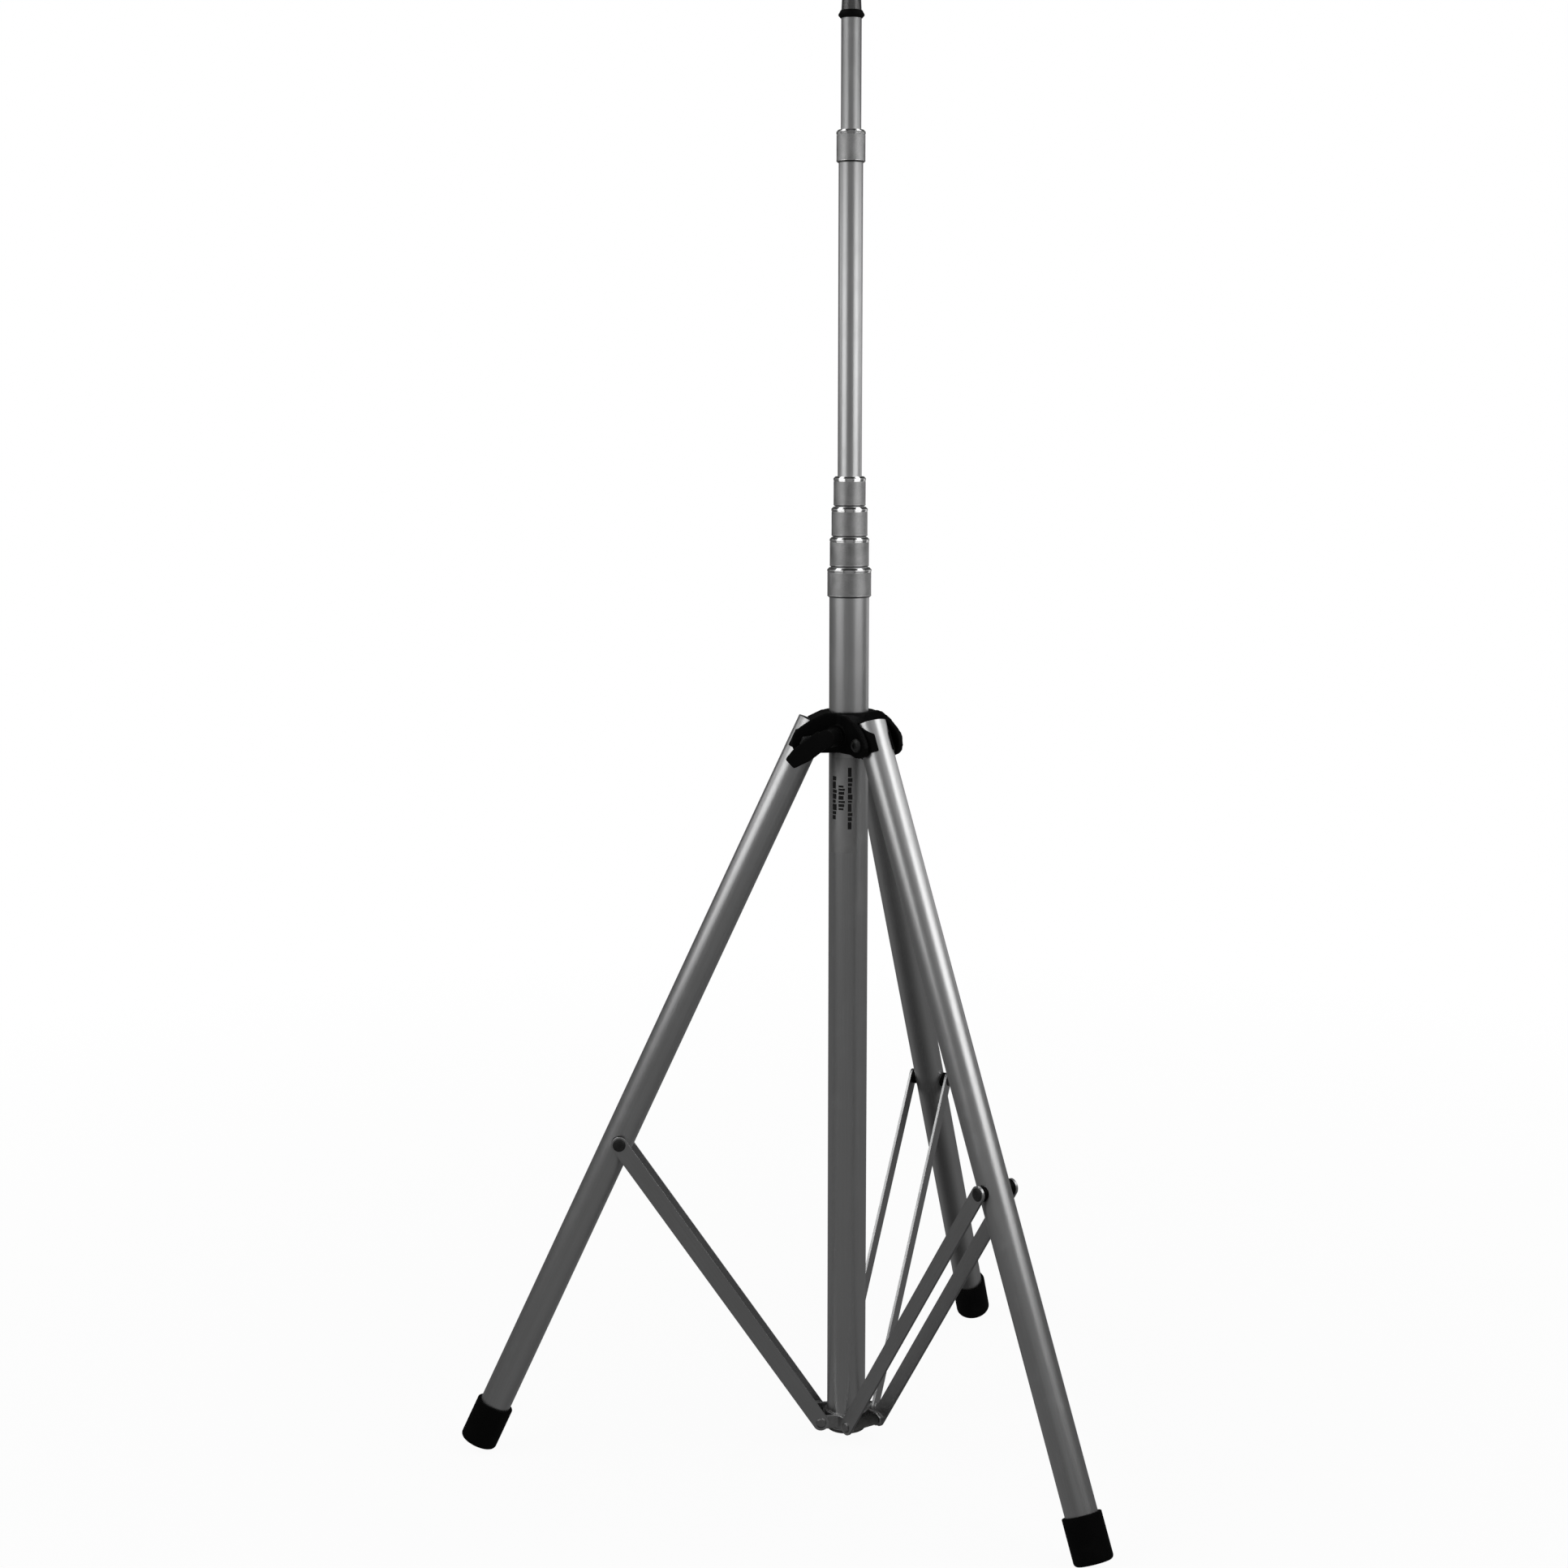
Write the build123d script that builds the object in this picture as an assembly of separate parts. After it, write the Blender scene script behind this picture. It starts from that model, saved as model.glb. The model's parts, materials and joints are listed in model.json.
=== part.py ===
"""Telescoping tripod stand: six-section aluminium mast on a folding three-leg base.

Frame: origin on the mast's axis at floor level, +Z up the mast, millimetres.
One leg points along -X, the others are 120 degrees round the mast.
"""

from build123d import *
import math
import os

# ---------------------------------------------------------------- driving dimensions

# mast
TUBE_OD = [38.1, 34.3, 30.5, 26.7, 22.9, 19.05]
TUBE_WALL = 1.4
TUBE_LENGTH = 845.0
MAST_BOTTOM = 10.0
RUNNING_FIT = 0.08

# twist-lock collars, one per tube except the last
COLLAR_OD = [42.3, 37.8, 34.7, 30.9, 27.4]
COLLAR_LENGTH = 28.2
COLLAR_PITCH = 28.8
COLLAR_1_BOTTOM = 843.2
COLLAR_5_BOTTOM = 1248.6
COLLAR_5_LENGTH = 29.8
COLLAR_RIM = 3.8
COLLAR_GROOVE = 0.9
COLLAR_GROOVE_DEPTH = 0.45
COLLAR_TOP_CHAMFER = 1.8
COLLAR_LOW_CHAMFER = 1.3
COLLAR_LIP = 3.0
COLLAR_LIP_CLEAR = 0.35
TUBE_END_IN_COLLAR = 15.0
COLLET_LENGTH = 9.5
COLLET_SLIT = 1.2

# guide bushes and plug
BUSH_FLANGE = 8.0
BUSH_SPIGOT = 11.0
BUSH_WALL = 1.6
PLUG_FLANGE = 3.0
PLUG_SPIGOT = 12.0

# top fitting
TOP_TUBE_END = 1386.0
RING_HEIGHT = 8.4
RING_R = 12.2
RING_EDGE = 1.6
ADAPTER_R = 9.4
ADAPTER_HEIGHT = 16.0
ADAPTER_SPIGOT = 20.0
THREAD_R = 7.94
THREAD_LENGTH = 15.0
THREAD_CHAMFER = 1.0

# legs
LEG_COUNT = 3
LEG_AZIMUTHS = [180.0, 300.0, 60.0]
LEG_TILT = 25.0
LEG_R = 15.25
LEG_WALL = 1.4
LEG_TOP = 20.0
HINGE_R = 42.5
HINGE_Z = 705.8
BRACE_ON_LEG = 434.0
FOOT_R = 18.4
FOOT_LENGTH = 43.0
FOOT_FLOOR = 4.5
FOOT_ROUND = 4.0
SADDLE_WALL = 1.5
SADDLE_SLOT = 18.0
SADDLE_LOW = -10.5
SADDLE_INNER_TOP = 8.0
SADDLE_PEAK = 19.5
SADDLE_PEAK_SPAN = (-9.0, 2.0)
SADDLE_OUTER_TOP = 3.0
PIVOT_R = 4.0
PIVOT_HEAD_R = 6.6
PIVOT_HEAD = 4.0
PIVOT_HEAD_ROUND = 2.0
SLEEVE_WALL = 1.5

# hub
HUB_BOTTOM = 695.5
HUB_TOP = 734.0
HUB_R = 27.0
HUB_BORE_CLEAR = 0.10
HUB_CHAMFER = 1.5
EAR_ROOT = 15.0
EAR_INNER = 17.1
EAR_OUTER = 22.3
POCKET_STEPS = 6
POCKET_CLEAR = 0.35
SADDLE_CLEAR = 0.45
POCKET_REACH = 60.0
SECTOR_MARGIN = 0.6
CLAMP_AZIMUTH = 240.0
CLAMP_Z = 712.0
BOSS_R = 9.5
BOSS_END = 37.0
SCREW_R = 4.0
PAD_R = 5.0
PAD_LENGTH = 3.0
LEVER_FACE = 50.0
LEVER_THICKNESS = 6.0
LEVER_HUB_R = 9.0
LEVER_TIP_ROUND = 2.5

# braces and spider
SPIDER_R = 27.5
SPIDER_Z = 20.5
BAR_WIDTH = 16.0
BAR_THICKNESS = 2.6
BAR_INNER = 18.7
PIN_R = 3.0
SPACER_R = 7.5
RIVET_HEAD_R = 6.2
RIVET_HEAD = 1.5
RIVET_ROUND = 0.9
SPIDER_RING = 2.4
SPIDER_HEIGHT = 15.0
SPIDER_BOTTOM = 12.0
SPIDER_EAR_INNER = 16.2
SPIDER_EAR = 2.4
SPIDER_ROLL_R = 5.5
SPIDER_EAR_END = 7.5
SPIDER_RIVET_HEAD_R = 5.2
SPIDER_RIVET_HEAD = 1.6
SPIDER_RIVET_ROUND = 1.0
SPIDER_EAR_RISE = 1.0
SPIDER_EAR_NOSE = 3.0
FACE_GAP = 0.1

# ---------------------------------------------------------------- derived dimensions

TUBE_R = [d / 2 for d in TUBE_OD]
BORE_R = [r - TUBE_WALL for r in TUBE_R]
COLLAR_R = [d / 2 for d in COLLAR_OD]
SECTIONS = len(TUBE_OD)
COLLARS = len(COLLAR_OD)

COLLAR_BOTTOM = [COLLAR_1_BOTTOM + COLLAR_PITCH * i for i in range(COLLARS - 1)] + [COLLAR_5_BOTTOM]
COLLAR_HEIGHT = [COLLAR_LENGTH] * (COLLARS - 1) + [COLLAR_5_LENGTH]
TUBE_TOP = [z + TUBE_END_IN_COLLAR for z in COLLAR_BOTTOM] + [TOP_TUBE_END]
TUBE_BOTTOM = [MAST_BOTTOM] + [z - TUBE_LENGTH for z in TUBE_TOP[1:]]

TILT = math.radians(LEG_TILT)
# the foot's rounded edge just touches the floor
LEG_LENGTH = (
    FOOT_ROUND
    + (HINGE_Z - (FOOT_R - FOOT_ROUND) * math.sin(TILT) - FOOT_ROUND) / math.cos(TILT)
)

PIN_X = HINGE_R + BRACE_ON_LEG * math.sin(TILT)
PIN_Z = HINGE_Z - BRACE_ON_LEG * math.cos(TILT)
BRACE_LENGTH = math.hypot(PIN_X - SPIDER_R, PIN_Z - SPIDER_Z)
BRACE_TILT = math.degrees(math.atan2(PIN_X - SPIDER_R, PIN_Z - SPIDER_Z))
BAR_OUTER = BAR_INNER + BAR_THICKNESS
PIN_END = BAR_INNER - FACE_GAP

# folded: legs upright, braces nearly so, hub raised
FOLDED_BRACE = math.degrees(math.asin((HINGE_R - SPIDER_R) / BRACE_LENGTH))
HUB_TRAVEL = (
    SPIDER_Z + BRACE_LENGTH * math.cos(math.radians(FOLDED_BRACE)) + BRACE_ON_LEG - HINGE_Z
)


# ---------------------------------------------------------------- helpers

UP = (Align.CENTER, Align.CENTER, Align.MIN)


def ring(outer_r, inner_r, bottom, top):
    """Upright ring between two heights."""
    height = top - bottom
    body = Pos(0, 0, bottom) * Cylinder(outer_r, height, align=UP)
    if inner_r > 0:
        body -= Pos(0, 0, bottom) * Cylinder(inner_r, height, align=UP)
    return body


def rod(radius, start, end):
    """Round bar along Y between two distances from the middle plane."""
    bar = Rot(-90, 0, 0) * Cylinder(radius, end - start, align=UP)
    return Pos(0, start, 0) * bar


def spoke(radius, start, end, height):
    """Round bar pointing out along X at a height."""
    return Pos(start, 0, height) * Rot(0, 90, 0) * Cylinder(radius, end - start, align=UP)


def plate(points, start, end):
    """Plate drawn in the radial plane (X out, Z up), from start to end along Y."""
    outline = Plane.XZ * make_face(Polyline(*points, close=True))
    return Pos(0, end, 0) * extrude(outline, end - start)


def mirrored(shape):
    """The shape and its mirror image across the radial plane."""
    return shape + mirror(shape, Plane.XZ)


def on_leg(shape):
    """From the leg's own frame (hinge at origin, leg down -Z) to the leg at azimuth 0."""
    return Pos(HINGE_R, 0, HINGE_Z) * Rot(0, -LEG_TILT, 0) * shape


def on_brace(shape):
    """From the brace's own frame (spider pivot at origin, bar up +Z) to azimuth 0."""
    return Pos(SPIDER_R, 0, SPIDER_Z) * Rot(0, BRACE_TILT, 0) * shape


def turned(shape, azimuth):
    return Rot(0, 0, azimuth) * shape


def all_round(shape):
    """Copies of the shape at every leg's azimuth."""
    return Compound(children=[turned(shape, a) for a in LEG_AZIMUTHS])


parts = {}

# ---------------------------------------------------------------- mast


def collar(radius, tube_r, inner_r, bottom, height):
    """Twist-lock collar: two polished rims, grooves and a band between, lip at the top."""
    top = bottom + height
    band_r = radius - COLLAR_GROOVE_DEPTH / 3
    groove_r = radius - COLLAR_GROOVE_DEPTH
    low = bottom + COLLAR_RIM
    high = top - COLLAR_RIM
    clear_r = tube_r + RUNNING_FIT
    lip_r = inner_r + COLLAR_LIP_CLEAR
    outline = Polyline(
        (clear_r, bottom),
        (radius - COLLAR_LOW_CHAMFER, bottom),
        (radius, bottom + COLLAR_LOW_CHAMFER),
        (radius, low),
        (groove_r, low),
        (groove_r, low + COLLAR_GROOVE),
        (band_r, low + COLLAR_GROOVE),
        (band_r, high - COLLAR_GROOVE),
        (groove_r, high - COLLAR_GROOVE),
        (groove_r, high),
        (radius, high),
        (radius, top - COLLAR_TOP_CHAMFER),
        (radius - COLLAR_TOP_CHAMFER, top),
        (lip_r, top),
        (lip_r, top - COLLAR_LIP),
        (clear_r, top - COLLAR_LIP),
        close=True,
    )
    return revolve(Plane.XZ * make_face(outline), Axis.Z)


def collet(tube_r, inner_r, bottom):
    """Split clamping ring on the tube's end, with one slit."""
    body = ring(tube_r - RUNNING_FIT, inner_r + RUNNING_FIT, bottom, bottom + COLLET_LENGTH)
    slit = Pos(0, 0, bottom) * Box(
        tube_r, COLLET_SLIT, COLLET_LENGTH, align=(Align.MIN, Align.CENTER, Align.MIN)
    )
    return body - slit


def guide_bush(own_bore_r, outer_bore_r, bottom):
    """Bush on the tube's lower end: a flange that runs in the tube outside, a spigot inside."""
    inner_r = own_bore_r - BUSH_WALL
    flange = ring(outer_bore_r - RUNNING_FIT, inner_r, bottom - BUSH_FLANGE, bottom)
    spigot = ring(own_bore_r, inner_r, bottom, bottom + BUSH_SPIGOT)
    return flange + spigot


for i in range(SECTIONS):
    parts[f"tube_{i + 1}"] = ring(TUBE_R[i], BORE_R[i], TUBE_BOTTOM[i], TUBE_TOP[i])

for i in range(COLLARS):
    parts[f"collar_{i + 1}"] = collar(
        COLLAR_R[i], TUBE_R[i], TUBE_R[i + 1], COLLAR_BOTTOM[i], COLLAR_HEIGHT[i]
    )
    parts[f"collet_{i + 1}"] = collet(TUBE_R[i], TUBE_R[i + 1], TUBE_TOP[i])
    parts[f"guide_bush_{i + 2}"] = guide_bush(BORE_R[i + 1], BORE_R[i], TUBE_BOTTOM[i + 1])

parts["mast_plug"] = ring(TUBE_R[0], 0, MAST_BOTTOM - PLUG_FLANGE, MAST_BOTTOM) + ring(
    BORE_R[0], 0, MAST_BOTTOM, MAST_BOTTOM + PLUG_SPIGOT
)

ring_outline = Polyline(
    (TUBE_R[-1], TOP_TUBE_END - RING_HEIGHT),
    (RING_R - RING_EDGE, TOP_TUBE_END - RING_HEIGHT),
    (RING_R, TOP_TUBE_END - RING_HEIGHT / 2),
    (RING_R - RING_EDGE, TOP_TUBE_END),
    (TUBE_R[-1], TOP_TUBE_END),
    close=True,
)
parts["bumper_ring"] = revolve(Plane.XZ * make_face(ring_outline), Axis.Z)

ADAPTER_TOP = TOP_TUBE_END + ADAPTER_HEIGHT
thread = Pos(0, 0, ADAPTER_TOP) * Cylinder(THREAD_R, THREAD_LENGTH, align=UP)
thread = chamfer(thread.edges().sort_by(Axis.Z)[-1], THREAD_CHAMFER)
parts["top_fitting"] = (
    ring(BORE_R[-1], 0, TOP_TUBE_END - ADAPTER_SPIGOT, TOP_TUBE_END)
    + ring(ADAPTER_R, 0, TOP_TUBE_END, ADAPTER_TOP)
    + thread
)

# ---------------------------------------------------------------- legs

sleeve_r = PIVOT_R + RUNNING_FIT + SLEEVE_WALL
pivot_hole = rod(sleeve_r, -LEG_R * 2, LEG_R * 2)
pin_hole = Pos(0, 0, -BRACE_ON_LEG) * rod(PIN_R, -LEG_R * 2, LEG_R * 2)
leg_end = LEG_LENGTH - FOOT_FLOOR

leg_tube = ring(LEG_R, LEG_R - LEG_WALL, -leg_end, LEG_TOP) - pivot_hole - pin_hole

foot = Pos(0, 0, -LEG_LENGTH) * Cylinder(FOOT_R, FOOT_LENGTH, align=UP)
foot = fillet(foot.edges().sort_by(Axis.Z)[0], FOOT_ROUND)
foot -= ring(LEG_R, 0, -leg_end, -LEG_LENGTH + FOOT_LENGTH)

# the saddle wraps the tube at the pivot and is open along its outer side
saddle_r = LEG_R + SADDLE_WALL
saddle_side = [
    (-saddle_r, SADDLE_LOW),
    (saddle_r, SADDLE_LOW),
    (saddle_r, SADDLE_OUTER_TOP),
    (SADDLE_PEAK_SPAN[1], SADDLE_PEAK),
    (SADDLE_PEAK_SPAN[0], SADDLE_PEAK),
    (-saddle_r, SADDLE_INNER_TOP),
]
saddle = ring(saddle_r, LEG_R, SADDLE_LOW, SADDLE_PEAK) & plate(saddle_side, -saddle_r, saddle_r)
saddle -= Pos(0, 0, SADDLE_LOW) * Box(
    saddle_r, SADDLE_SLOT, SADDLE_PEAK - SADDLE_LOW, align=(Align.MIN, Align.CENTER, Align.MIN)
)
saddle -= pivot_hole

leg_sleeve = rod(sleeve_r, -LEG_R, LEG_R) - rod(PIVOT_R + RUNNING_FIT, -LEG_R, LEG_R)

brace_pin = Pos(0, 0, -BRACE_ON_LEG) * rod(PIN_R, -PIN_END, PIN_END)
spacer = rod(SPACER_R, 0, PIN_END) - rod(PIN_R, 0, PIN_END)
spacers = Pos(0, 0, -BRACE_ON_LEG) * mirrored(spacer)
spacers -= ring(LEG_R, 0, -BRACE_ON_LEG - 2 * SPACER_R, -BRACE_ON_LEG + 2 * SPACER_R)

leg_pieces = {
    "leg_tube": leg_tube,
    "foot_cap": foot,
    "leg_saddle": saddle,
    "leg_sleeve": leg_sleeve,
    "brace_pin": brace_pin,
    "brace_spacers": spacers,
}
for name, piece in leg_pieces.items():
    for k, azimuth in enumerate(LEG_AZIMUTHS):
        parts[f"{name}_{k + 1}"] = turned(on_leg(piece), azimuth)

# ---------------------------------------------------------------- hub

# each leg sits between a wide ear on the nut's side and a slimmer one on the bolt head's side
wide_ear = [
    (EAR_ROOT, HUB_TOP),
    (24, HUB_TOP),
    (37, 728.6),
    (48.5, 721),
    (54.5, 716),
    (56.6, 712),
    (57.4, 704.5),
    (55.8, 699.3),
    (51.5, 695.6),
    (45.5, 693.4),
    (38, 693.4),
    (31, HUB_BOTTOM),
    (EAR_ROOT, HUB_BOTTOM),
]
slim_ear = [
    (EAR_ROOT, HUB_TOP - HUB_CHAMFER),
    (24, HUB_TOP - HUB_CHAMFER),
    (37, 726.4),
    (47, 718),
    (52.4, 711),
    (55, 704.5),
    (54.3, 699.3),
    (50.5, 695.4),
    (45, 693.4),
    (38, 693.4),
    (31, HUB_BOTTOM),
    (EAR_ROOT, HUB_BOTTOM),
]
hub = Pos(0, 0, HUB_BOTTOM) * Cylinder(HUB_R, HUB_TOP - HUB_BOTTOM, align=UP)
hub = chamfer(hub.edges(), HUB_CHAMFER)
ears = plate(slim_ear, -EAR_OUTER, 0) + plate(wide_ear, 0, EAR_OUTER)
for azimuth in LEG_AZIMUTHS:
    hub += turned(ears, azimuth)
hub += turned(spoke(BOSS_R, 0, BOSS_END, CLAMP_Z), CLAMP_AZIMUTH)

# room for the leg and its saddle over the whole fold, between the ears
leg_back = -LEG_R - POCKET_CLEAR
leg_ceiling = LEG_TOP + POCKET_CLEAR
saddle_back = -saddle_r - SADDLE_CLEAR
saddle_ceiling = SADDLE_INNER_TOP + SADDLE_CLEAR
saddle_slope = (SADDLE_PEAK - SADDLE_INNER_TOP) / (SADDLE_PEAK_SPAN[0] + saddle_r)
saddle_step = saddle_ceiling + SADDLE_CLEAR + saddle_slope * (leg_back + saddle_r)
pocket_side = [
    (leg_back, leg_ceiling),
    (POCKET_REACH, leg_ceiling),
    (POCKET_REACH, -POCKET_REACH),
    (saddle_back, -POCKET_REACH),
    (saddle_back, saddle_ceiling),
    (leg_back, saddle_step),
]
pocket = plate(pocket_side, -EAR_INNER, EAR_INNER)


def swept_corner(x, z):
    """The sector that a corner of the pocket sweeps about the hinge between folded and open."""
    folded = math.degrees(math.atan2(z, x)) - SECTOR_MARGIN
    opened = folded + LEG_TILT + 2 * SECTOR_MARGIN
    rays = [math.radians(folded), math.radians(opened)]
    wedge = [(0, 0)] + [(POCKET_REACH * math.cos(ray), POCKET_REACH * math.sin(ray)) for ray in rays]
    return rod(math.hypot(x, z), -EAR_INNER, EAR_INNER) & plate(wedge, -EAR_INNER, EAR_INNER)


at_hinge = Pos(HINGE_R, 0, HINGE_Z)
room = swept_corner(leg_back, leg_ceiling) + swept_corner(saddle_back, saddle_ceiling)
for azimuth in LEG_AZIMUTHS:
    for step in range(POCKET_STEPS):
        tilt = LEG_TILT * step / (POCKET_STEPS - 1)
        hub -= turned(at_hinge * Rot(0, -tilt, 0) * pocket, azimuth)
    hub -= turned(at_hinge * room, azimuth)
    hub -= turned(at_hinge * rod(PIVOT_R, -2 * EAR_OUTER, 2 * EAR_OUTER), azimuth)
hub -= ring(TUBE_R[0] + HUB_BORE_CLEAR, 0, HUB_BOTTOM - 1, HUB_TOP + 1)
pad_end = TUBE_R[0] + HUB_BORE_CLEAR + PAD_LENGTH
hub -= turned(spoke(SCREW_R + RUNNING_FIT, 0, 2 * BOSS_END, CLAMP_Z), CLAMP_AZIMUTH)
hub -= turned(spoke(PAD_R, 0, pad_end, CLAMP_Z), CLAMP_AZIMUTH)
parts["hub_body"] = hub

bolt = rod(PIVOT_R, -EAR_OUTER, EAR_OUTER)
head = rod(PIVOT_HEAD_R, -EAR_OUTER - PIVOT_HEAD, -EAR_OUTER)
head = fillet(head.edges().sort_by(Axis.Y)[0], PIVOT_HEAD_ROUND)
hex_nut = Pos(0, EAR_OUTER + PIVOT_HEAD, 0) * extrude(
    Plane.XZ * RegularPolygon(PIVOT_HEAD_R, 6, major_radius=False), PIVOT_HEAD
)
parts["leg_pivot_bolts"] = all_round(at_hinge * (bolt + head))
parts["leg_pivot_nuts"] = all_round(at_hinge * hex_nut)

parts["clamp_pad"] = turned(spoke(PAD_R, pad_end - PAD_LENGTH, pad_end, CLAMP_Z), CLAMP_AZIMUTH)
screw_end = LEVER_FACE + LEVER_THICKNESS / 2
parts["clamp_screw"] = turned(spoke(SCREW_R, pad_end + FACE_GAP, screw_end, CLAMP_Z), CLAMP_AZIMUTH)

# lever: drawn looking at the mast along the screw, left of the screw is negative
lever_side = [
    (-8.5, 7.5),
    (-33.5, -11.0),
    (-42.3, -21.4),
    (-33.2, -29.7),
    (-17.9, -22.0),
    (-1.0, -9.0),
]
arm = extrude(make_face(Polyline(*lever_side, close=True)), LEVER_THICKNESS)
arm = fillet(arm.edges().filter_by(Axis.Z).group_by(Axis.X)[0], LEVER_TIP_ROUND)
lever_hub = Cylinder(LEVER_HUB_R, LEVER_THICKNESS + LEVER_FACE - BOSS_END - FACE_GAP, align=UP)
lever_hub = Pos(0, 0, BOSS_END + FACE_GAP - LEVER_FACE) * lever_hub
lever = arm + lever_hub
lever -= Pos(0, 0, -LEVER_FACE) * Cylinder(SCREW_R, LEVER_FACE + LEVER_THICKNESS / 2, align=UP)
lever_plane = Plane(origin=(LEVER_FACE, 0, CLAMP_Z), x_dir=(0, 1, 0), z_dir=(1, 0, 0))
parts["clamp_lever"] = turned(lever_plane * lever, CLAMP_AZIMUTH)

# ---------------------------------------------------------------- braces

bar_body = Pos(0, 0, BRACE_LENGTH / 2) * Box(BAR_WIDTH, BAR_THICKNESS, BRACE_LENGTH)
bar_body = Pos(0, BAR_INNER + BAR_THICKNESS / 2, 0) * bar_body
bar_ends = rod(BAR_WIDTH / 2, BAR_INNER, BAR_OUTER)
bar = bar_body + bar_ends + Pos(0, 0, BRACE_LENGTH) * bar_ends
bar -= rod(PIN_R + RUNNING_FIT, BAR_INNER, BAR_OUTER)
bar -= Pos(0, 0, BRACE_LENGTH) * rod(PIN_R, BAR_INNER, BAR_OUTER)

rivet_cap = rod(RIVET_HEAD_R, BAR_OUTER, BAR_OUTER + RIVET_HEAD)
rivet_cap = fillet(rivet_cap.edges().sort_by(Axis.Y)[-1], RIVET_ROUND)
rivet_cap += rod(PIN_R, BAR_INNER, BAR_OUTER)
brace_heads = Pos(0, 0, BRACE_LENGTH) * mirrored(rivet_cap)

for k, azimuth in enumerate(LEG_AZIMUTHS):
    parts[f"brace_left_{k + 1}"] = turned(on_brace(bar), azimuth)
    parts[f"brace_right_{k + 1}"] = turned(on_brace(mirror(bar, Plane.XZ)), azimuth)
    parts[f"brace_heads_{k + 1}"] = turned(on_brace(brace_heads), azimuth)

# ---------------------------------------------------------------- spider

spider_top = SPIDER_BOTTOM + SPIDER_HEIGHT
ear_outer = SPIDER_EAR_INNER + SPIDER_EAR
ear_end = SPIDER_R + SPIDER_EAR_END
spider = ring(TUBE_R[0] + SPIDER_RING, 0, SPIDER_BOTTOM, spider_top)
ear_low = SPIDER_BOTTOM + SPIDER_EAR_RISE
ear_points = [
    (ear_outer / 2, ear_low),
    (SPIDER_R, ear_low),
    (ear_end, SPIDER_Z - SPIDER_EAR_NOSE),
    (ear_end, SPIDER_Z + SPIDER_EAR_NOSE),
    (SPIDER_R, spider_top),
    (ear_outer / 2, spider_top),
]
at_spider = Pos(SPIDER_R, 0, SPIDER_Z)
rivet_hole = rod(PIN_R, -2 * ear_outer, 2 * ear_outer)
roll_room = rod(SPIDER_ROLL_R, -SPIDER_EAR_INNER, SPIDER_EAR_INNER)
for azimuth in LEG_AZIMUTHS:
    spider += turned(mirrored(plate(ear_points, SPIDER_EAR_INNER, ear_outer)), azimuth)
    spider -= turned(at_spider * rivet_hole, azimuth)
    spider -= turned(at_spider * roll_room, azimuth)
spider -= ring(TUBE_R[0], 0, SPIDER_BOTTOM - 1, spider_top + 1)
parts["spider"] = spider

head_start = BAR_OUTER + FACE_GAP
spider_head = rod(SPIDER_RIVET_HEAD_R, head_start, head_start + SPIDER_RIVET_HEAD)
spider_head = fillet(spider_head.edges().sort_by(Axis.Y)[-1], SPIDER_RIVET_ROUND)
spider_rivet = rod(PIN_R, -head_start, head_start) + mirrored(spider_head)
spider_roll = roll_room - rivet_hole
parts["spider_rivets"] = all_round(at_spider * spider_rivet)
parts["spider_rolls"] = all_round(at_spider * spider_roll)

# ---------------------------------------------------------------- write

os.makedirs("parts", exist_ok=True)
for name, shape in parts.items():
    shape.label = name
    export_step(shape, f"parts/{name}.step")

print("nodes", len(parts))
print("leg length", round(LEG_LENGTH, 3), "brace length", round(BRACE_LENGTH, 3))
print("brace tilt", round(BRACE_TILT, 4), "folded", round(FOLDED_BRACE, 4))
print("hub travel", round(HUB_TRAVEL, 4))
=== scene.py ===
"""Looks of the telescoping tripod stand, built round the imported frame.

Each piece is drawn in millimetres in its own axes and placed in metres in the part's frame, +Z up the mast.
"""

import json
import math

import bmesh
import bpy
import numpy as np
from mathutils import Matrix, Vector


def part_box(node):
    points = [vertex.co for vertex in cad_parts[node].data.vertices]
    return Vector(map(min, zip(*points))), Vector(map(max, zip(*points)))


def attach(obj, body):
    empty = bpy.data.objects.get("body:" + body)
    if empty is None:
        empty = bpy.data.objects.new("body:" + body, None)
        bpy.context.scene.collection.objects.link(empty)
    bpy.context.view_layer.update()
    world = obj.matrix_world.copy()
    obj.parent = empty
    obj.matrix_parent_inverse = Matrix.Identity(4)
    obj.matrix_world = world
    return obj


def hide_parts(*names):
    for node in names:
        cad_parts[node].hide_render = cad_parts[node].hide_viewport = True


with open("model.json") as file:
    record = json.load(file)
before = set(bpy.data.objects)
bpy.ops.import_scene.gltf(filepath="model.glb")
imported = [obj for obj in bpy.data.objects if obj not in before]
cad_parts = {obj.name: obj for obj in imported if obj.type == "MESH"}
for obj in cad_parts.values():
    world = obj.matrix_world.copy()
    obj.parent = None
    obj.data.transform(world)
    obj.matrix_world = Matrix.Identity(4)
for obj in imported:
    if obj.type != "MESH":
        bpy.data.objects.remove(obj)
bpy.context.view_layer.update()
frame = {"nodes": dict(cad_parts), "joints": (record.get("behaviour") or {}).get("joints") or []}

# ---------------------------------------------------------------- meshes in general

MM = 0.001
# points closer than this are one point, and lengths under this are none, metres
MERGE_GAP = 2e-6
TINY = 1e-6
# edges sharper than this stay sharp, degrees
SHARP_ANGLE = 35.0
# lathe profiles start this close to their axis, millimetres
AXIS_R = 0.5

X, Y, Z = 0, 1, 2
UP = Vector((0, 0, 1))
ORIGIN = Vector((0, 0, 0))
UPRIGHT = Matrix.Identity(4)

# ------------------------------------------------------- sizes of the pieces, millimetres and degrees

LEGS = (1, 2, 3)
TUBES = (1, 2, 3, 4, 5, 6)
COLLARS = (1, 2, 3, 4, 5)

TUBE_WALL = 1.4
TUBE_RIM = 0.35
TUBE_STEPS = 128
LEG_WALL = 1.4

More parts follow.
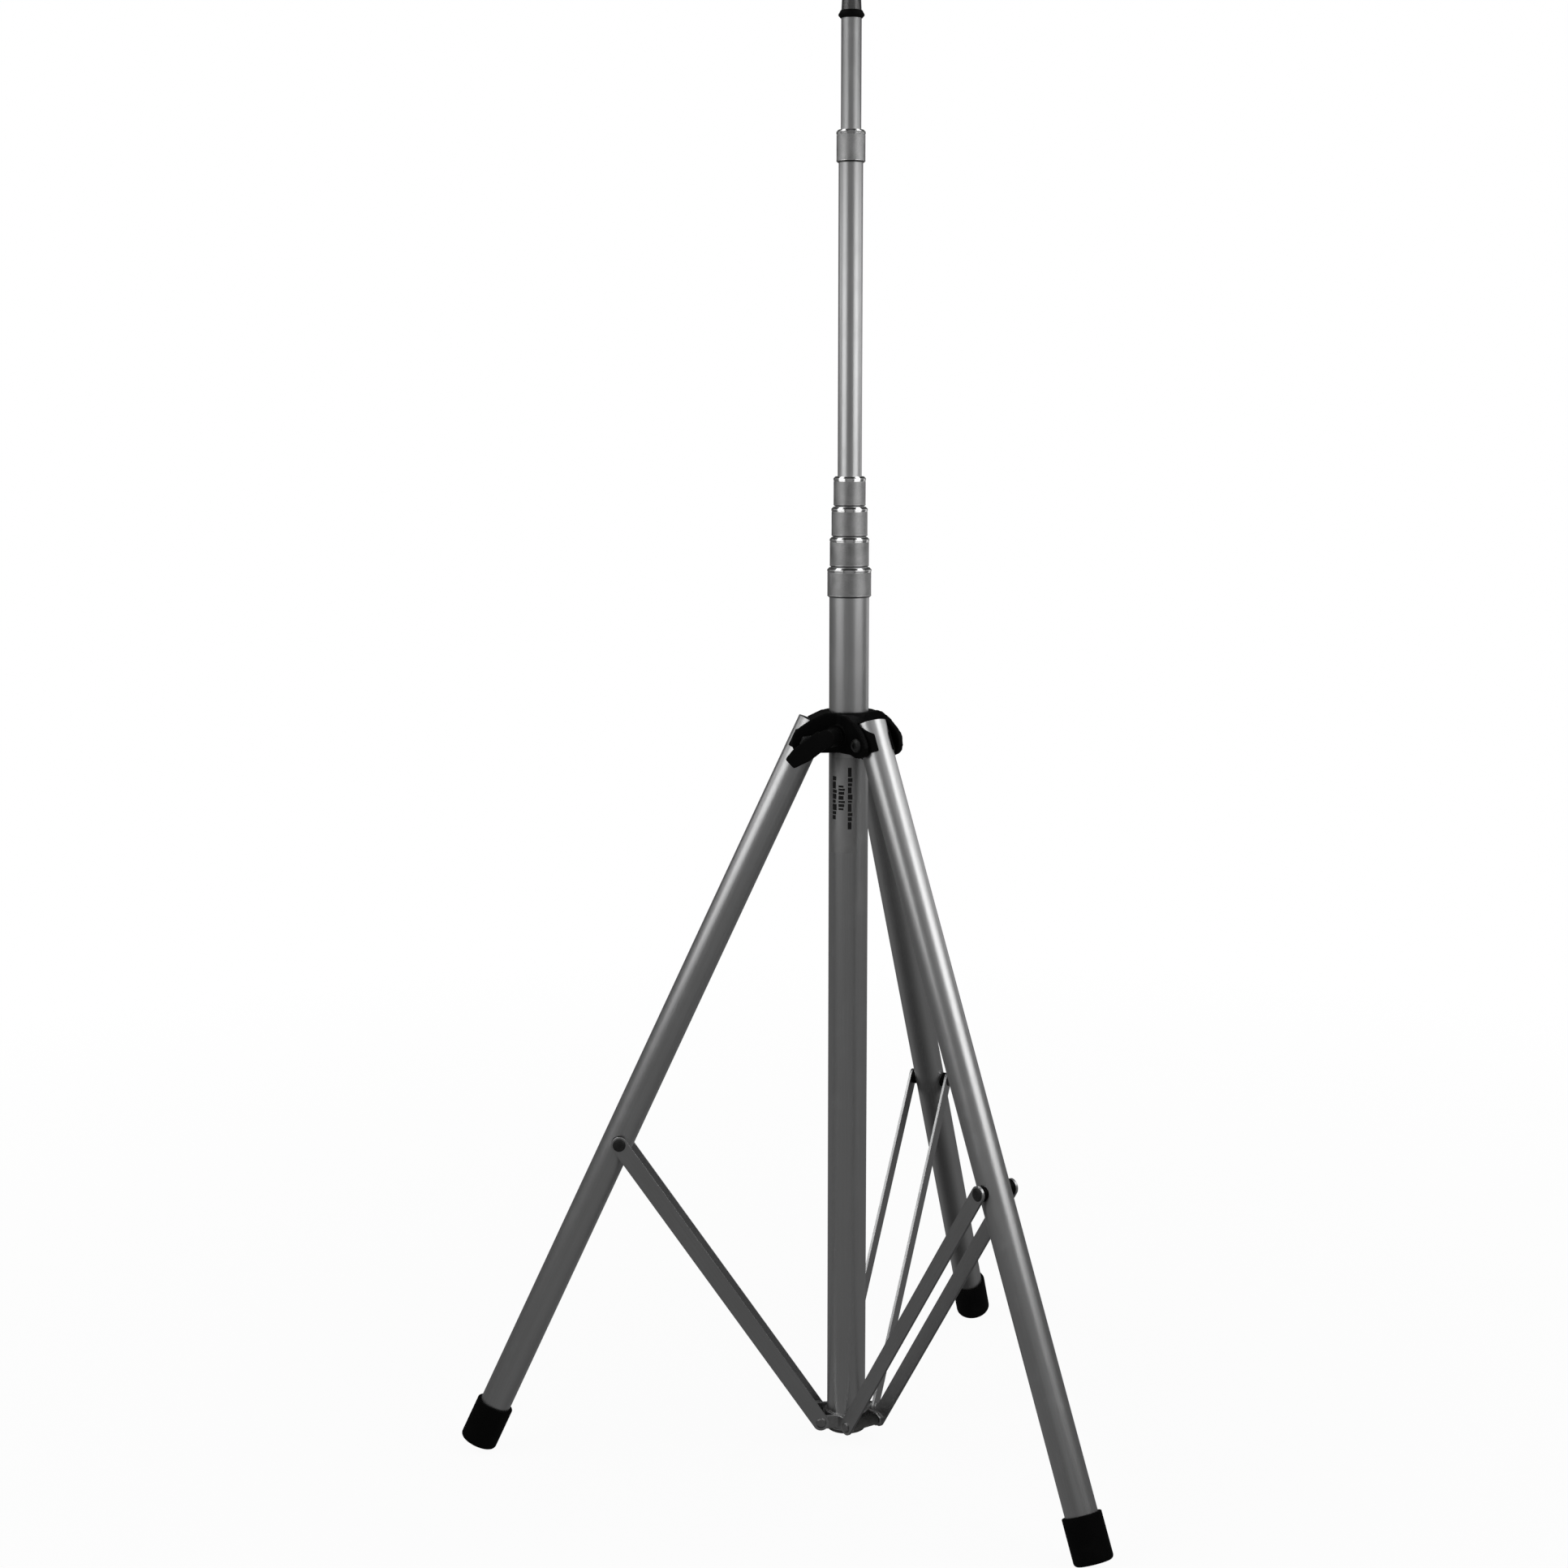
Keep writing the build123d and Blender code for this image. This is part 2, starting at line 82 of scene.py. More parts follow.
COLLAR_SEAT = 0.06
COLLAR_RIM = 3.8
COLLAR_TOP_CHAMFER = 1.8
COLLAR_LOW_CHAMFER = 1.4
COLLAR_LOW_RIM = 2.0
COLLAR_GROOVE = 0.8
COLLAR_GROOVE_DEPTH = 0.5
COLLAR_LIP_CLEAR = 0.3
COLLAR_LIP_DEPTH = 2.8
KNURL_PITCH = 1.25
KNURL_DEPTH = 0.32
KNURL_SUNK = 0.1
KNURL_STEPS = 4
# places in a collar's list of paints; the last is a dark copy of the rim metal, painted shade on the lower
# chamfer
RIM_PAINT, KNURL_PAINT, RECESS_SHADE_PAINT = 0, 1, 2

THREAD_R = 7.94
THREAD_PITCH = 0.94
THREAD_DEPTH = 0.55
THREAD_LENGTH = 15.0
THREAD_ROWS = (0.0, 0.5, 1.0, 0.5)
THREAD_STEPS = 96
CORE_INSET = 0.1

ADAPTER_HEIGHT = 16.0
ADAPTER_SPIGOT = 18.0
ADAPTER_SPIGOT_INSET = 1.4
# groove round the adapter: depth under its widest radius, height above its shoulder
ADAPTER_GROOVE = ((0.5, 10.0), (1.1, 10.6), (1.1, 11.6), (0.6, 12.1))
ADAPTER_TOP_INSET = 0.8

RUBBER_SEAT = 0.02
RING_INSET = 1.4
RING_SHOULDER = 0.6
RING_HALF_FLAT = 0.5

FOOT_ROUND = 4.0
FOOT_LIP = 0.9
FOOT_FLOOR = 4.5

SADDLE_INNER_R = 15.27
SADDLE_R = 16.75
SADDLE_LOW = -10.5
SADDLE_TOP_X = (-16.75, -9.0, 2.0, 16.75)
SADDLE_TOP_Z = (8.0, 19.5, 19.5, 3.0)
# the corners of the top edge are eased over these angles
SADDLE_EASE = range(-9, 10, 3)
SADDLE_HALF_SLOT = 9.0
SADDLE_EDGE = 0.5
SADDLE_STEPS = 72

# size of the voxels that an edge is softened with, and how many times
HUB_SOFTENING = (0.9, 4)
LEVER_SOFTENING = (0.6, 6)
SPIDER_SOFTENING = (0.7, 3)

PIVOT_R = 4.0
PIVOT_HEAD_R = 6.6
# along a leg's pivot from its middle: the hub's ears end here, and the bolt's head or nut there
EAR_FACE = 22.3
PIVOT_END = 26.3
PIVOT_HEAD_SIDE = 1.6
PIVOT_HEAD_FLAT = 0.66
SOCKET_APOTHEM = 2.5
SOCKET_MOUTH = 1.3
SOCKET_LIP = 0.25
SOCKET_DEPTH = 2.0
NUT_CHAMFER = (0.3, 0.4)
NUT_FLATS_END = 1.4
# round top of a lock nut: share of the apothem, depth under its end
NUT_COLLAR = ((1.02, 0.9), (0.86, 0.6), (0.82, 0.15), (0.74, 0.0))
# bore of the nut and the bolt's end in it: radius over the bolt's, depth under the nut's end
NUT_BORE = ((0.15, 0.0), (0.15, 0.7), (-0.1, 0.7), (-0.1, 0.35), (-0.6, 0.0))

PIN_R = 3.0
BRACE_HEAD_R = 6.2
SPIDER_HEAD_R = 5.2
# along a spider's rivet from its middle: under the head and over it
SPIDER_HEAD_SPAN = (21.4, 23.0)
RIVET_SHANK = 2.0
RIVET_SIDE = 0.45
RIVET_EDGE = 0.3
RIVET_FLAT = 0.72
RIVET_AXIS_R = 0.4
ROLL_R = 5.5
ROLL_END = 16.2
SPACER_START = 13.6

BAR_WIDTH = 16.0
BAR_EDGE = 0.25
BAR_END_STEPS = 20

LABEL_LOW = 597.0
LABEL_HIGH = 690.0
LABEL_SIDES = (-158.0, -78.0)
LABEL_FACET = 3.0
LABEL_THICKNESS = 0.12
MARK_THICKNESS = 0.05
# azimuth, lowest mark's height, width, lengths upwards
MARK_COLUMNS = (
    (-141.0, 629.5, 5.2, (4, 3, 6, 3, 5, 3, 7, 4)),
    (-117.0, 639.0, 6.5, (2, 3, 2, 4, 3, 2, 2)),
    (-92.0, 620.5, 4.4, (7, 4, 3, 8, 2, 5, 6, 3, 4, 9)),
)
MARK_GAP = 1.0
# how far the marks of successive rows reach past the middle of their column, in half widths
MARK_REACH = (0.6, 0.8, 1.0)

# ---------------------------------------------------------------- studio, metres and degrees

CAMERA_DISTANCE = 2.4027
CAMERA_HEIGHT = 1.0261
CAMERA_AZIMUTH = -96.91
CAMERA_HEADING = 84.58
CAMERA_PITCH = 8.623
CAMERA_LENS = 57.57
CAMERA_SENSOR = 36.0

FLOOR_R = 30.0
FLOOR_STEPS = 96
# share of plain white light in the floor near the stand. Over the fade it rises to all of it
FLOOR_GLOW = 0.95
FLOOR_FADE = (0.3, 2.2)

# the room's glow by the height part of a ray's direction: from, to, strength at each. The two multiply
ROOM_SPANS = ((-0.5, 0.8, 0.15, 0.02), (-0.95, -0.6, 0.08, 1.0))

# name, azimuth from the camera, distance, height, width, tall, strength, height aimed at
SOFTBOXES = (
    ("left_softbox", -58, 1.3, 1.08, 1.15, 0.5, 1.45, 1.08),
    ("right_softbox", 58, 1.3, 1.08, 1.15, 0.5, 1.65, 1.08),
    ("front_fill", 0, 2.6, 1.05, 2.2, 0.9, 0.13, 1.05),
    ("front_high", 0, 2.3, 2.9, 2.4, 1.0, 0.65, 0.6),
    ("left_high", -74, 2.3, 2.85, 2.6, 1.3, 2.3, 0.5),
    ("right_high", 72, 2.3, 2.85, 2.6, 1.3, 2.4, 0.5),
    ("left_wing", -108, 1.5, 1.22, 0.8, 0.35, 0.8, 0.9),
    ("right_wing", 104, 1.5, 1.22, 1.0, 0.35, 1.0, 0.9),
    ("right_back", 134, 1.6, 0.85, 0.8, 0.7, 0.5, 0.85),
    ("left_rim", -122, 1.4, 3.3, 0.8, 0.8, 2.2, 1.0),
    ("right_rim", 122, 1.4, 3.3, 0.8, 0.8, 2.2, 1.0),
)

# ---------------------------------------------------------------- reading the frame


def joint(name):
    """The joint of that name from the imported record."""
    return next(j for j in frame["joints"] if j["name"] == name)


def centre(node):
    """Middle of a CAD node's box."""
    low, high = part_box(node)
    return (low + high) / 2


def reach(node, origin=ORIGIN, direction=UP):
    """(nearest, furthest, widest radius) of a CAD node along a line, in millimetres."""
    line = np.array(direction)
    spots = np.array([v.co for v in frame["nodes"][node].data.vertices]) - np.array(origin)
    along = spots @ line
    across = np.linalg.norm(spots - np.outer(along, line), axis=1)
    return along.min() / MM, along.max() / MM, across.max() / MM


def stand_at(origin, z_axis, x_axis):
    """Matrix that puts a piece's own origin, Z and X in the part's frame."""
    z = Vector(z_axis).normalized()
    y = z.cross(Vector(x_axis)).normalized()
    x = y.cross(z)
    turn = Matrix((x, y, z)).transposed().to_4x4()
    return Matrix.Translation(origin) @ turn


# ---------------------------------------------------------------- mesh helpers


def rounded(corners, steps=4):
    """Closed outline from (x, y, corner radius) corners, with each corner made an arc."""
    outline = []
    count = len(corners)
    for i, (x, y, radius) in enumerate(corners):
        here = Vector((x, y))
        if radius <= 0:
            outline.append((x, y))
            continue
        before = (Vector(corners[i - 1][:2]) - here).normalized()
        after = (Vector(corners[(i + 1) % count][:2]) - here).normalized()
        half = before.angle(after) / 2
        middle = here + (before + after).normalized() * (radius / math.sin(half))
        start = here + before * (radius / math.tan(half)) - middle
        turn = start.angle_signed(here + after * (radius / math.tan(half)) - middle)
        for k in range(steps + 1):
            spoke = start.copy()
            spoke.rotate(Matrix.Rotation(-turn * k / steps, 2))
            outline.append(tuple(middle + spoke))
    return outline


def at_angle(value, angle):
    """A ring's radius or height, which may depend on the angle."""
    return value(angle) if callable(value) else value


def add_piece(name, mesh, place, body, paints, replaced=(), weighted=True):
    """Makes the object, puts it in place, paints it and lets it ride on its body."""
    mesh.shade_smooth()
    mesh.set_sharp_from_angle(angle=math.radians(SHARP_ANGLE))
    piece = bpy.data.objects.new(name, mesh)
    bpy.context.scene.collection.objects.link(piece)
    for paint in paints:
        mesh.materials.append(paint)
    piece.matrix_world = place
    if weighted:
        normals = piece.modifiers.new("Normals", "WEIGHTED_NORMAL")
        normals.keep_sharp = True
    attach(piece, body)
    if replaced:
        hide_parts(*replaced)
    return piece


def clean_mesh(name, verts, faces, paints=None):
    """Mesh from millimetre points, with doubles merged and normals outwards."""
    mesh = bpy.data.meshes.new(name)
    mesh.from_pydata([(x * MM, y * MM, z * MM) for x, y, z in verts], [], faces)
    if paints:
        mesh.polygons.foreach_set("material_index", paints)
    shape = bmesh.new()
    shape.from_mesh(mesh)
    bmesh.ops.remove_doubles(shape, verts=shape.verts, dist=MERGE_GAP)
    bmesh.ops.dissolve_degenerate(shape, edges=shape.edges, dist=TINY)
    bmesh.ops.recalc_face_normals(shape, faces=shape.faces)
    shape.to_mesh(mesh)
    shape.free()
    return mesh


def skin(name, rings, steps=96, closed=True, paint_of=None):
    """Mesh round Z through rings of (radius, height). closed joins the last ring to the first.

    Otherwise both end rings are filled in. paint_of gives the paint above each ring.
    """
    verts = []
    faces = []
    paints = []
    for radius, height in rings:
        for s in range(steps):
            angle = 2 * math.pi * s / steps
            r = at_angle(radius, angle)
            verts.append((r * math.cos(angle), r * math.sin(angle), at_angle(height, angle)))
    count = len(rings)
    for i in range(count if closed else count - 1):
        j = (i + 1) % count
        for s in range(steps):
            t = (s + 1) % steps
            faces.append((i * steps + s, i * steps + t, j * steps + t, j * steps + s))
            paints.append(paint_of(i) if paint_of else 0)
    if not closed:
        faces.append(tuple(range(steps)))
        faces.append(tuple(range((count - 1) * steps, count * steps)))
        paints += [0, 0]
    return clean_mesh(name, verts, faces, paints)


def plate(name, outline, start, end, edge):
    """Flat mesh: an outline in XY, thickness along Z, both rims rounded over."""
    mesh = bpy.data.meshes.new(name)
    shape = bmesh.new()
    corners = [shape.verts.new((x * MM, y * MM, start * MM)) for x, y in outline]
    base = shape.faces.new(corners)
    grown = bmesh.ops.extrude_face_region(shape, geom=[base])
    lifted = [v for v in grown["geom"] if isinstance(v, bmesh.types.BMVert)]
    bmesh.ops.translate(shape, verts=lifted, vec=(0, 0, (end - start) * MM))
    rims = [e for e in shape.edges if abs(e.verts[0].co.z - e.verts[1].co.z) < TINY]
    bmesh.ops.bevel(shape, geom=rims, offset=edge * MM, segments=3, profile=0.5, affect="EDGES")
    bmesh.ops.recalc_face_normals(shape, faces=shape.faces)
    shape.to_mesh(mesh)
    shape.free()
    return mesh


def moulded(name, node, voxel, rounds):
    """The CAD node's own shape with every edge softened, as a moulding has."""
    copy = frame["nodes"][node].data.copy()
    copy.materials.clear()
    shape = bmesh.new()
    shape.from_mesh(copy)
    bmesh.ops.remove_doubles(shape, verts=shape.verts, dist=TINY)
    shape.to_mesh(copy)
    shape.free()
    carrier = bpy.data.objects.new("carrier", copy)
    bpy.context.scene.collection.objects.link(carrier)
    remesh = carrier.modifiers.new("Remesh", "REMESH")
    remesh.mode = "VOXEL"
    remesh.voxel_size = voxel * MM
    smooth = carrier.modifiers.new("Smooth", "SMOOTH")
    smooth.factor = 0.5
    smooth.iterations = rounds
    evaluated = carrier.evaluated_get(bpy.context.evaluated_depsgraph_get())
    mesh = bpy.data.meshes.new_from_object(evaluated)
    mesh.name = name
    bpy.data.objects.remove(carrier)
    return mesh


def joined(name, meshes):
    """One mesh from several, each given with the matrix that places it."""
    shape = bmesh.new()
    for mesh, place in meshes:
        mesh.transform(place)
        shape.from_mesh(mesh)
    whole = bpy.data.meshes.new(name)
    shape.to_mesh(whole)
    shape.free()
    return whole


def lofted(name, stations):
    """Mesh through closed loops of millimetre points, with both end loops filled in."""
    size = len(stations[0])
    faces = []
    for i in range(len(stations) - 1):
        for s in range(size):
            t = (s + 1) % size
            faces.append((i * size + s, i * size + t, (i + 1) * size + t, (i + 1) * size + s))
    last = (len(stations) - 1) * size
    faces.append(tuple(range(size)))
    faces.append(tuple(range(last, last + size)))
    return clean_mesh(name, [point for loop in stations for point in loop], faces)


def both_ways(mesh):
    """A mesh drawn along +Z and its copy, turned to point along +Y and -Y."""
    quarter = math.pi / 2
    return [
        (mesh, Matrix.Rotation(-quarter, 4, "X")),
        (mesh.copy(), Matrix.Rotation(quarter, 4, "X")),
    ]


def hexagon(apothem):
    """Radius of a hexagon at an angle."""

    def radius(angle):
        return apothem / math.cos((angle + math.pi / 6) % (math.pi / 3) - math.pi / 6)

    return radius


# ---------------------------------------------------------------- materials


RANGE_SOCKETS = ("From Min", "From Max", "To Min", "To Max")
# a Mix node's colour sockets, whose names other types share
MIX_A, MIX_B, MIX_RESULT = 6, 7, 2

# where most values of a noise lie, and of two noises mixed
USUAL = (0.3, 0.7)
MIDDLING = (0.38, 0.62)


class Paint:
    """A node material: one Principled shader and the nodes that feed it."""

    def __init__(self, name, **sockets):
        self.material = bpy.data.materials.new(name)
        self.material.use_nodes = True
        self.tree = self.material.node_tree
        self.shader = self.tree.nodes["Principled BSDF"]
        for socket, value in sockets.items():
            self.shader.inputs[socket.replace("_", " ")].default_value = value
        self.place = self.add("ShaderNodeTexCoord").outputs["Object"]

    def add(self, kind, **settings):
        node = self.tree.nodes.new(kind)
        for setting, value in settings.items():
            setattr(node, setting, value)
        return node

    def put(self, socket, value):
        """Links or sets one input."""
        if isinstance(value, bpy.types.NodeSocket):
            self.tree.links.new(value, socket)
        else:
            socket.default_value = value

    def stretched(self, scale):
        """The piece's own place, scaled along each axis."""
        node = self.add("ShaderNodeMapping")
        self.put(node.inputs["Vector"], self.place)
        node.inputs["Scale"].default_value = scale
        return node.outputs["Vector"]

    def noise(self, scale, stretch=(1, 1, 1), detail=3.0, rough=0.55):
        """Soft random value about 0.5. scale is in features per metre."""
        node = self.add("ShaderNodeTexNoise")
        self.put(node.inputs["Vector"], self.stretched(stretch))
        node.inputs["Scale"].default_value = scale
        node.inputs["Detail"].default_value = detail
        node.inputs["Roughness"].default_value = rough
        return node.outputs["Fac"]

    def between(self, value, span, to=(0.0, 1.0)):
        """value mapped from one span to another and held inside it."""
        node = self.add("ShaderNodeMapRange", clamp=True)
        self.put(node.inputs["Value"], value)
        for socket, number in zip(RANGE_SOCKETS, (*span, *to)):
            node.inputs[socket].default_value = number
        return node.outputs["Result"]

    def maths(self, operation, first, second):
        node = self.add("ShaderNodeMath", operation=operation)
        self.put(node.inputs[0], first)
        self.put(node.inputs[1], second)
        return node.outputs[0]

    def mixed(self, first, second, share):
        """Two values mixed, with that share of the first."""
        return self.maths(
            "ADD", self.maths("MULTIPLY", first, share), self.maths("MULTIPLY", second, 1 - share)
        )

    def colour(self, factor, first, second):
        """Colour that goes from the first, a colour or another node's, to the second by a factor."""
        node = self.add("ShaderNodeMix", data_type="RGBA")
        self.put(node.inputs["Factor"], factor)
        self.put(node.inputs[MIX_A], first)
        self.put(node.inputs[MIX_B], second)
        return node.outputs[MIX_RESULT]

    def bump(self, height, depth):
        """Surface relief of depth millimetres."""
        node = self.add("ShaderNodeBump")
        node.inputs["Strength"].default_value = 1.0
        node.inputs["Distance"].default_value = depth * MM
        self.put(node.inputs["Height"], height)
        self.tree.links.new(node.outputs["Normal"], self.shader.inputs["Normal"])

    def set(self, socket, value):
        self.put(self.shader.inputs[socket], value)


def grey(level, tint=0.0):
    """Neutral colour, a touch warm (+) or cool (-)."""
    return (level * (1 + tint), level, level * (1 - tint), 1.0)


def drawn_metal(name, dark, light, rough, streak_scale, grain):
    """Drawn or brushed aluminium with its grain along one axis, handling marks and fine scratches."""
    paint = Paint(name, Metallic=1.0)
    streaks = paint.noise(streak_scale, grain, detail=5.0, rough=0.62)
    fine = paint.noise(streak_scale * 3.2, grain, detail=3.0)
    clouds = paint.noise(14.0, detail=4.0)
    smudges = paint.noise(46.0, detail=5.0, rough=0.6)
    shade = paint.between(paint.mixed(streaks, clouds, 0.6), MIDDLING)
    base = paint.colour(shade, grey(dark), grey(light, -0.006))
    scratches = paint.between(fine, (0.72, 0.80), (0.0, 0.25))
    paint.set("Base Color", paint.colour(scratches, base, grey(dark * 0.72)))
    satin = paint.between(streaks, USUAL, (rough - 0.02, rough + 0.02))
    handled = paint.between(smudges, (0.52, 0.72), (0.0, 0.05))
    paint.set("Roughness", paint.maths("ADD", satin, handled))
    paint.bump(fine, 0.003)
    return paint.material


def cast_metal(name, dark, light, rough, metallic=1.0):
    """Plain metal with a fine mottle and worn patches, for brackets, pins and screws."""
    paint = Paint(name, Metallic=metallic)
    mottle = paint.noise(380.0, detail=4.0)
    clouds = paint.noise(60.0, detail=4.0)
    worn = paint.between(clouds, (0.56, 0.72), (0.0, 0.5))
    base = paint.colour(paint.between(mottle, (0.35, 0.65)), grey(dark), grey(light))
    paint.set("Base Color", paint.colour(worn, base, grey(light * 1.25)))
    paint.set("Roughness", paint.between(clouds, USUAL, (rough - 0.06, rough + 0.08)))
    paint.bump(mottle, 0.02)
    return paint.material


def polished_metal(name, level, rough):
    """Turned and polished metal with faint lathe rings."""
    paint = Paint(name, Metallic=1.0)
    lathe = paint.noise(26.0, (1, 1, 160), detail=3.0)
    paint.set("Base Color", paint.colour(lathe, grey(level * 0.93), grey(level)))
    paint.set("Roughness", paint.between(lathe, USUAL, (rough - 0.03, rough + 0.05)))
    paint.bump(lathe, 0.003)
    return paint.material


def knurled_metal(name, dark, light, rough):
    """Knurled band: gritty metal, rubbed brighter in patches."""
    paint = Paint(name, Metallic=1.0)
    grit = paint.noise(1500.0, detail=3.0)
    rubbed = paint.noise(70.0, detail=4.0)
    shade = paint.between(paint.mixed(grit, rubbed, 0.5), MIDDLING)
    paint.set("Base Color", paint.colour(shade, grey(dark), grey(light)))
    paint.set("Roughness", paint.between(rubbed, USUAL, (rough - 0.05, rough + 0.06)))
    paint.bump(grit, 0.02)
    return paint.material


def black_moulding(name, level, rough, grain, depth):
    """Moulded plastic or rubber: fine surface grain, slight bloom and dust."""
    paint = Paint(name, Specular_IOR_Level=0.05)
    texture = paint.noise(grain, detail=2.0, rough=0.5)
    bloom = paint.noise(38.0, detail=5.0, rough=0.6)
    dust = paint.between(bloom, (0.5, 0.75), (0.0, 0.5))
    base = paint.colour(paint.between(texture, USUAL), grey(level * 0.8), grey(level * 1.2))
    paint.set("Base Color", paint.colour(dust, base, grey(level * 2.2, 0.04)))
    paint.set("Roughness", paint.between(bloom, USUAL, (rough - 0.05, rough + 0.07)))
    paint.bump(texture, depth)
    return paint.material


def nylon(name):
    """Natural nylon of the collets, bushes and pad inside."""
    paint = Paint(name, Subsurface_Weight=0.1)
    clouds = paint.noise(90.0, detail=3.0)
    paint.set("Base Color", paint.colour(clouds, (0.78, 0.76, 0.70, 1.0), (0.88, 0.87, 0.82, 1.0)))
    paint.set("Roughness", paint.between(clouds, USUAL, (0.4, 0.5)))
    return paint.material


def foil(name):
    """Silvered label stock."""
    paint = Paint(name, Metallic=1.0)
    clouds = paint.noise(120.0, detail=3.0)
    paint.set("Base Color", paint.colour(clouds, grey(0.50), grey(0.58)))
    paint.set("Roughness", paint.between(clouds, USUAL, (0.42, 0.50)))
    return paint.material


# stretches that draw a noise out along one axis
ALONG_Z = (1, 1, 0.012)
ALONG_Y = (1, 0.02, 1)
TUBE_METAL = drawn_metal("satin_tube", 0.60, 0.64, 0.36, 900.0, ALONG_Z)
BAR_METAL = drawn_metal("brushed_bar", 0.50, 0.55, 0.40, 1100.0, ALONG_Y)
RIM_METAL = polished_metal("polished_rim", 0.85, 0.17)
# dark copy of the polished rim metal: painted shade on the collar's downward-facing lower chamfer
RECESS_SHADE_METAL = polished_metal("collar_underside_painted_shade", 0.26, 0.30)
KNURL_METAL = knurled_metal("knurled_band", 0.38, 0.56, 0.46)
BRACKET_METAL = cast_metal("bracket_metal", 0.40, 0.48, 0.42)
PLATED_STEEL = cast_metal("plated_steel", 0.34, 0.42, 0.38)
BLACK_STEEL = cast_metal("black_steel", 0.010, 0.018, 0.42, metallic=0.3)
DARK_FITTING = polished_metal("dark_fitting", 0.28, 0.28)
HUB_PLASTIC = black_moulding("black_plastic", 0.002, 0.50, 1400.0, 0.03)
GREY_PLASTIC = black_moulding("grey_plastic", 0.035, 0.55, 1400.0, 0.03)
FOOT_RUBBER = black_moulding("black_rubber", 0.002, 0.62, 900.0, 0.03)
NYLON = nylon("natural_nylon")
LABEL_FOIL = foil("label_foil")
LABEL_INK = black_moulding("label_ink", 0.012, 0.5, 1200.0, 0.005)

# ---------------------------------------------------------------- mast


def tube_mesh(name, radius, wall, low, high):
    """Hollow tube with small rounded rims."""
    corners = [
        (radius, low, TUBE_RIM),
        (radius, high, TUBE_RIM),
        (radius - wall, high, TUBE_RIM),
        (radius - wall, low, TUBE_RIM),
    ]
    return skin(name, rounded(corners, 3), steps=TUBE_STEPS)


def knurl(angle, height, teeth):
    """0 at a groove's bottom and 1 on a crest of a diamond knurl."""
    around = angle / (2 * math.pi) * teeth
    up = height / KNURL_PITCH
    one = abs((around + up) % 1.0 - 0.5) * 2
    other = abs((around - up) % 1.0 - 0.5) * 2
    return min(1 - one, 1 - other)


def collar_mesh(name, radius, tube_r, inner_r, low, high):
    """Twist-lock collar: chamfered rims, a groove under the upper one and a cut diamond knurl between."""
    band_low = low + COLLAR_LOW_RIM
    band_high = high - COLLAR_RIM - COLLAR_GROOVE
    groove = radius - COLLAR_GROOVE_DEPTH
    teeth = round(2 * math.pi * radius / KNURL_PITCH)
    rows = round((band_high - band_low) / KNURL_PITCH * KNURL_STEPS)
    row = (band_high - band_low) / rows

    def cut(height):
        return lambda angle: radius - KNURL_SUNK - KNURL_DEPTH * (1 - knurl(angle, height, teeth))

    seat = tube_r + COLLAR_SEAT
    lip = inner_r + COLLAR_LIP_CLEAR
    below = rounded(
        [
            (seat, low, 0),
            (radius - COLLAR_LOW_CHAMFER, low, 0.25),
            (radius, low + COLLAR_LOW_CHAMFER, 0.5),
            (radius, low + COLLAR_LOW_RIM, 0.15),
        ],
        3,
    )
    above = rounded(
        [
            (groove, high - COLLAR_RIM, 0),
            (radius, high - COLLAR_RIM, 0.15),
            (radius, high - COLLAR_TOP_CHAMFER, 0.7),
            (radius - COLLAR_TOP_CHAMFER, high, 0.35),
            (lip, high, 0.2),
            (lip, high - COLLAR_LIP_DEPTH, 0),
            (seat, high - COLLAR_LIP_DEPTH, 0),
        ],
        3,
    )
    band = [(cut(band_low + row * k - low), band_low + row * k) for k in range(rows + 1)]
    rings = below + band + [(groove, band_high)] + above
    first = len(below) - 1
    last = len(below) + len(band)

    def paint_of(ring):
        # the lower chamfer takes the dark copy of the rim metal, painted shade where the collar faces down
        # onto the tube below
        if rings[ring][1] < low + COLLAR_LOW_CHAMFER:
            return RECESS_SHADE_PAINT
        return KNURL_PAINT if first <= ring < last else RIM_PAINT

    return skin(name, rings, steps=teeth * KNURL_STEPS, paint_of=paint_of)


for i in TUBES:
    low, high, radius = reach(f"tube_{i}")
    body = "mast_base" if i == 1 else f"section_{i}"
    mesh = tube_mesh(f"mast_tube_{i}", radius, TUBE_WALL, low, high)
    add_piece(f"mast_tube_{i}", mesh, UPRIGHT, body, [TUBE_METAL], [f"tube_{i}"])

for i in COLLARS:
    low, high, radius = reach(f"collar_{i}")
    own = reach(f"tube_{i}")[2]
    inner = reach(f"tube_{i + 1}")[2]
    mesh = collar_mesh(f"lock_collar_{i}", radius, own, inner, low, high)
    paints = [RIM_METAL, KNURL_METAL, RECESS_SHADE_METAL]
    add_piece(f"lock_collar_{i}", mesh, UPRIGHT, f"collar_{i}", paints, [f"collar_{i}"])


def stud_mesh(name, radius, low, high):
    """Threaded stud: rows follow the helix, so each crest is a clean edge, and both ends run out."""
    steps = THREAD_STEPS
    per_turn = len(THREAD_ROWS)
    first = -per_turn
    count = int((high - low) / THREAD_PITCH * per_turn) + 2 * per_turn
    verts = []
    faces = []
    root = radius - THREAD_DEPTH
    for j in range(count):
        for s in range(steps):
            angle = 2 * math.pi * s / steps
            height = low + THREAD_PITCH * ((j + first) / per_turn + s / steps)
            inside = min(height - low, high - height)
            fade = min(max(inside / THREAD_PITCH, 0.0), 1.0)
            r = root + THREAD_DEPTH * THREAD_ROWS[j % per_turn] * fade
            height = min(max(height, low), high)
            verts.append((r * math.cos(angle), r * math.sin(angle), height))
    for j in range(count - 1):
        for s in range(steps):
            up = j + per_turn if s == steps - 1 else j
            if up + 1 >= count:
                continue
            t = (s + 1) % steps
            faces.append((j * steps + s, up * steps + t, (up + 1) * steps + t, (j + 1) * steps + s))
    return clean_mesh(name, verts, faces)


